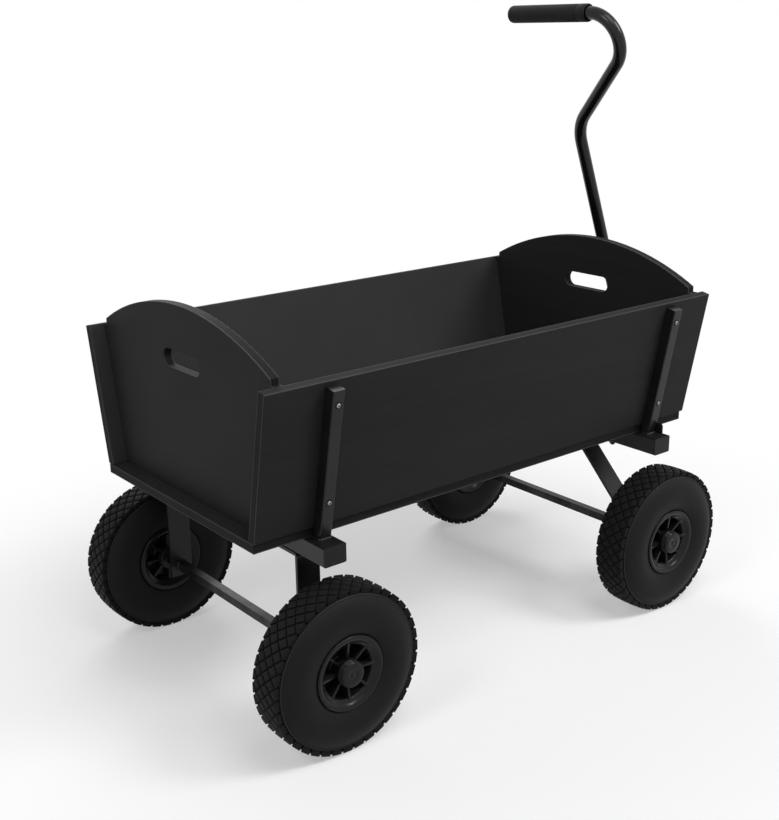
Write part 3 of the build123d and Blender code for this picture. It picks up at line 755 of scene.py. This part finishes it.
make_turned("floor_bolt_nuts", nut_profile, nut_columns, nuts, axle_zinc, "wagon", nut_flats)

# ------------------------------ hinge pin
# A zinc plated pin with a domed head riveted on at each end carries the handle between the ears.

shank_radius, head_tall, pin_columns = 5.0, 5.0, 32
pin_low, pin_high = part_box("hinge_pin")
pin_middle = (pin_low + pin_high) / 2
pin_half = (pin_high.y - pin_low.y) / 2 / mm
pin_head = np.array([(8.5, head_tall), (8.5, 3.2), (8.2, 2.2), (7.2, 1.0), (5.2, 0.25), (2.6, 0), (0, 0)])
pin_side = np.concatenate([[(shank_radius, pin_half - head_tall)], pin_head * (1, -1) + (0, pin_half)])
pin_profile = np.concatenate([pin_side[::-1] * (1, -1), pin_side]) * mm
pin = make_turned("hinge_pin_riveted", pin_profile, pin_columns, [(pin_middle, (0, 1, 0))], axle_zinc,
                  "bogie")
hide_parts("hinge_pin")

# ------------------------------ weld beads
# Fillet welds where the steel parts meet, ground back lightly and coated with the frame: at the stakes'
# feet, the beams and turntable, the axles, the drawbar and the handle's sleeve.

bead_columns, bead_step, ripple_pitch, ripple_height = 8, 0.7 * mm, 2.6 * mm, 0.14
foot_fillet, axle_fillet, plate_fillet, strap_fillet = 2.6 * mm, 2.2 * mm, 2.2 * mm, 2.4 * mm
foot_wrap, foot_corner = 16 * mm, 2 * mm
rear_stitch, rear_stitch_spread, front_stitch = 22 * mm, 110 * mm, 40 * mm
rod_lean, sleeve_radius, tube_radius = np.radians(20.1), 15 * mm, 11 * mm
upward, downward = (0, 0, 1), (0, 0, -1)


def bead(path, thickness, face, closed=False):
    """A tube carried along a path. Its radius swells and shrinks with the sine of the length along the
    path, which gives the ripples, and falls to nothing at the ends of an open path."""
    step = np.linalg.norm(np.diff(path, axis=0), axis=1)
    gone = np.concatenate([[0], np.cumsum(step)])
    size = thickness * (1 + ripple_height * np.sin(2 * np.pi * gone / ripple_pitch))
    if not closed:
        size *= np.sqrt(np.clip(np.minimum(gone, gone[-1] - gone) / thickness, 0, 1))
    tangent = np.gradient(path, axis=0)
    if closed:
        tangent[0] = tangent[-1] = path[1] - path[-2]
    tangent /= np.linalg.norm(tangent, axis=1)[:, None]
    normal = np.array(face) - tangent * (tangent @ np.array(face))[:, None]
    normal /= np.linalg.norm(normal, axis=1)[:, None]
    third = np.cross(tangent, normal)
    angle = np.arange(bead_columns) * 2 * np.pi / bead_columns
    return (path[:, None] + size[:, None, None] * (np.cos(angle)[None, :, None] * normal[:, None]
                                                   + np.sin(angle)[None, :, None] * third[:, None]))


def run(*corners, closed=False):
    """Points at even steps along straight runs between corners."""
    corners = np.array(corners)
    if closed:
        corners = np.concatenate([corners, corners[:1]])
    legs = np.linalg.norm(np.diff(corners, axis=0), axis=1)
    gone = np.concatenate([[0], np.cumsum(legs)])
    share = np.linspace(0, gone[-1], max(8, int(gone[-1] / bead_step)))
    return np.stack([np.interp(share, gone, corners[:, i]) for i in range(3)], -1)


def make_beads(name, beads, body, finish=frame_coat):
    """Join beads, each (path, thickness, face, closed), into one piece on a body."""
    points, faces, start = [], [], 0
    for path, thickness, face, closed in beads:
        grid = bead(path, thickness, face, closed)
        points.append(grid.reshape(-1, 3))
        faces.append(grid_faces(len(grid), bead_columns, wrap_columns=True, start=start))
        start += len(points[-1])
    make_piece(name, np.concatenate(points), faces, finish, body, smooth_below=60)


for end, body in (("rear", "wagon"), ("front", "bogie")):
    foot_beads = []
    for side, hand in hands:
        low, high, reach = stake_foot("stake_" + end + "_" + hand)
        inner, corner, outer = side * (reach - foot_wrap), side * (reach - foot_corner), side * reach
        path = run((low.x, inner, low.z), (low.x, corner, low.z), (low.x + foot_corner, outer, low.z),
                   (high.x - foot_corner, outer, low.z), (high.x, corner, low.z), (high.x, inner, low.z))
        foot_beads.append((path, foot_fillet, upward, False))
    make_beads("stake_foot_welds_" + end, foot_beads, "wagon")
    low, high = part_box(end + "_axle_bracket")
    bar_low, bar_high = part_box(end + "_axle")
    axle_beads = []
    for y in (low.y, low.y + bracket_plate, high.y - bracket_plate, high.y):
        corners = [(x, y, z) for x, z in ((bar_low.x, bar_low.z), (bar_high.x, bar_low.z),
                                          (bar_high.x, bar_high.z), (bar_low.x, bar_high.z))]
        axle_beads.append((run(*corners, closed=True), axle_fillet, (0, 1, 0), True))
    make_beads("axle_welds_" + end, axle_beads, body)

low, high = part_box("cross_beam_rear")
plate_beads = [(run((x, y - rear_stitch, low.z), (x, y + rear_stitch, low.z)), plate_fillet, downward, False)
               for x in (low.x, high.x) for y in (-rear_stitch_spread, 0.0, rear_stitch_spread)]
low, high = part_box("cross_beam_front")
plate_beads += [(run((x, -front_stitch, low.z), (x, front_stitch, low.z)), plate_fillet, downward, False)
                for x in (low.x, high.x)]
make_beads("beam_welds", plate_beads, "wagon")

low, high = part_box("front_axle_bracket")
strap_top = high.z - bracket_plate
ear_low, ear_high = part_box("drawbar")
strap_path = run((high.x, ear_low.y + foot_corner, strap_top), (high.x, ear_high.y - foot_corner, strap_top))
make_beads("drawbar_welds", [(strap_path, strap_fillet, upward, False)], "bogie")

# The handle's tube meets its sleeve along a saddle: round the tube, the height above the pin is the root
# of the sleeve's radius squared less the sideways distance squared.
rod_way = np.array((-np.sin(rod_lean), 0, np.cos(rod_lean)))
rod_side = np.array((np.cos(rod_lean), 0, np.sin(rod_lean)))
turn = np.linspace(0, 2 * np.pi, 121)
climb = np.sqrt(sleeve_radius ** 2 - (tube_radius * np.sin(turn)) ** 2)
sleeve_path = (np.array(pin_middle) + climb[:, None] * rod_way
               + (tube_radius * np.cos(turn))[:, None] * np.array((0, 1, 0))
               + (tube_radius * np.sin(turn))[:, None] * rod_side)
make_beads("sleeve_weld", [(sleeve_path, strap_fillet, rod_way, True)], "handle", enamel)

# ------------------------------ grip
# A closed-cell foam sleeve pushed over the rod's end, matt, with a skin of tiny cells. It is closed and
# rounded on the left, with a shallow groove near the open end, where the rod goes in.

foam_dark, foam_light = (0.011, 0.011, 0.011, 1), (0.018, 0.018, 0.018, 1)
foam = Finish("grip_foam", Specular_IOR_Level=0.3, IOR=1.4)
foam_point = foam.place()
foam_cells = foam.node("ShaderNodeTexVoronoi", {"feature": "F1"}, Vector=foam_point, Scale=1100.0)
foam_cloud = foam.noise(foam_point, 40.0, detail=3)
foam.feed(Base_Color=foam.blend(foam.ramp(foam_cloud, 0.35, 0.7), foam_dark, foam_light),
          Roughness=0.72 + foam_cloud * 0.15, Normal=foam.relief(foam_cells, 0.12 * mm, 0.5))
grip_columns = 48
grip_low, grip_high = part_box("grip")
grip_end = ((grip_low.x + grip_high.x) / 2, grip_low.y, (grip_low.z + grip_high.z) / 2)
grip_length = (grip_high.y - grip_low.y) / mm
grip_profile = np.array([(11.1, 14), (11.4, 4.0), (12.0, 1.2), (12.9, 0.2), (13.6, 0.1), (14.3, 0.5),
                         (14.8, 1.4), (15.0, 2.8), (15.0, 17.8), (14.8, 18.4), (14.45, 18.9), (14.3, 19.5),
                         (14.45, 20.1), (14.8, 20.6), (15.0, 21.2), (15.0, 60), (15.0, 120),
                         (15.0, grip_length - 6), (14.8, grip_length - 4), (14.2, grip_length - 2.2),
                         (13.0, grip_length - 0.9), (11.2, grip_length - 0.15), (8.0, grip_length),
                         (0, grip_length), (0, grip_length - 4), (11.1, grip_length - 7)]) * mm
grip_grid = turned(grip_profile, grip_columns, grip_end, (0, 1, 0))
grip = make_piece("grip_sleeve", grip_grid.reshape(-1, 3),
                  [grid_faces(*grip_grid.shape[:2], wrap_rows=True, wrap_columns=True)], foam, "handle",
                  smooth_below=60)
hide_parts("grip")

# ------------------------------ floor, backdrop and light
# A white studio floor that fades into a white backdrop, with four large softboxes: overhead, at the
# front right, at the rear and at the far side. The floor keeps the soft shadows and is clear from below.

floor_size, fade_start, fade_end = 60.0, 0.52, 1.2
floor_grey, floor_glow = (0.64, 0.64, 0.64, 1), 0.40
air_level = 0.12
lamp_target = Vector((0, 0, 0.35))
# Each softbox's place, diameter and power.
lamps = {"overhead": ((-0.3, -1.5, 3.3), 1.8, 34), "front_right": ((1.5, -2.2, 2.8), 1.4, 58),
         "rear": ((-2.6, -0.6, 2.4), 1.0, 19), "far_side": ((0.8, 2.7, 2.4), 2.4, 48)}
floor_mesh = bpy.data.meshes.new("studio_floor")
floor_mesh.from_pydata([(-floor_size, -floor_size, 0), (floor_size, -floor_size, 0),
                        (floor_size, floor_size, 0), (-floor_size, floor_size, 0)], [], [(0, 1, 2, 3)])
floor_object = bpy.data.objects.new("studio_floor", floor_mesh)
bpy.context.scene.collection.objects.link(floor_object)
studio = Finish("studio_white", Base_Color=floor_grey, Roughness=0.9, Specular_IOR_Level=0.0)
seen = (studio.node("ShaderNodeLightPath", {}, output="Is Camera Ray")
        + studio.node("ShaderNodeLightPath", {}, output="Is Glossy Ray"))
distance = studio.node("ShaderNodeVectorMath", {"operation": "LENGTH"}, studio.place(), output="Value")
glow = studio.node("ShaderNodeEmission", {}, (1, 1, 1, 1), seen * floor_glow)
lit_floor = studio.node("ShaderNodeAddShader", {}, Wire(studio, studio.shader.outputs[0]), glow)
white = studio.node("ShaderNodeEmission", {}, (1, 1, 1, 1), 1.0)
fade = studio.ramp(distance, fade_start, fade_end) * seen
faded = studio.node("ShaderNodeMixShader", {}, fade, lit_floor, white)
below = studio.node("ShaderNodeNewGeometry", {}, output="Backfacing")
clear = studio.node("ShaderNodeBsdfTransparent", {})
surface = studio.node("ShaderNodeMixShader", {}, below, faded, clear)
studio.tree.links.new(surface.socket, studio.tree.nodes["Material Output"].inputs["Surface"])
floor_mesh.materials.append(studio.material)

world = bpy.data.worlds.new("studio_air")
bpy.context.scene.world = world
world.use_nodes = True
air = Nodes(world.node_tree)
shown = (air.node("ShaderNodeLightPath", {}, output="Is Camera Ray")
         + air.node("ShaderNodeLightPath", {}, output="Is Glossy Ray")
         + air.node("ShaderNodeLightPath", {}, output="Is Transmission Ray"))
background = air.tree.nodes["Background"]
air.tree.links.new((air_level + shown * (1 - air_level)).socket, background.inputs["Strength"])
background.inputs["Color"].default_value = (1, 1, 1, 1)

for name, (place, size, power) in lamps.items():
    lamp_data = bpy.data.lights.new(name, "AREA")
    lamp_data.shape = "DISK"
    lamp_data.size = size
    lamp_data.energy = power
    lamp = bpy.data.objects.new(name, lamp_data)
    lamp.location = place
    lamp.rotation_euler = (lamp_target - Vector(place)).to_track_quat("-Z", "Y").to_euler()
    bpy.context.scene.collection.objects.link(lamp)

# ------------------------------ camera
# Three-quarter view from the wagon's rear right, a little above the boards.

camera_place = Vector((-1.34332, -1.53359, 1.01286))
camera_yaw, camera_pitch, camera_roll = np.radians((51.3168, 17.5523, 0.7907))
camera_lens, sensor_width = 53.22, 36
forward = Vector((np.cos(camera_pitch) * np.cos(camera_yaw), np.cos(camera_pitch) * np.sin(camera_yaw),
                  -np.sin(camera_pitch)))
level_right = Vector((np.sin(camera_yaw), -np.cos(camera_yaw), 0))
level_down = forward.cross(level_right)
right = np.cos(camera_roll) * level_right + np.sin(camera_roll) * level_down
down = -np.sin(camera_roll) * level_right + np.cos(camera_roll) * level_down
camera_data = bpy.data.cameras.new("camera")
camera_data.lens = camera_lens
camera_data.sensor_width = sensor_width
camera = bpy.data.objects.new("camera", camera_data)
camera_turn = Matrix((right, -down, -forward)).transposed()
camera.matrix_world = Matrix.Translation(camera_place) @ camera_turn.to_4x4()
bpy.context.scene.collection.objects.link(camera)
bpy.context.scene.camera = camera
bpy.context.scene.view_settings.view_transform = "Standard"
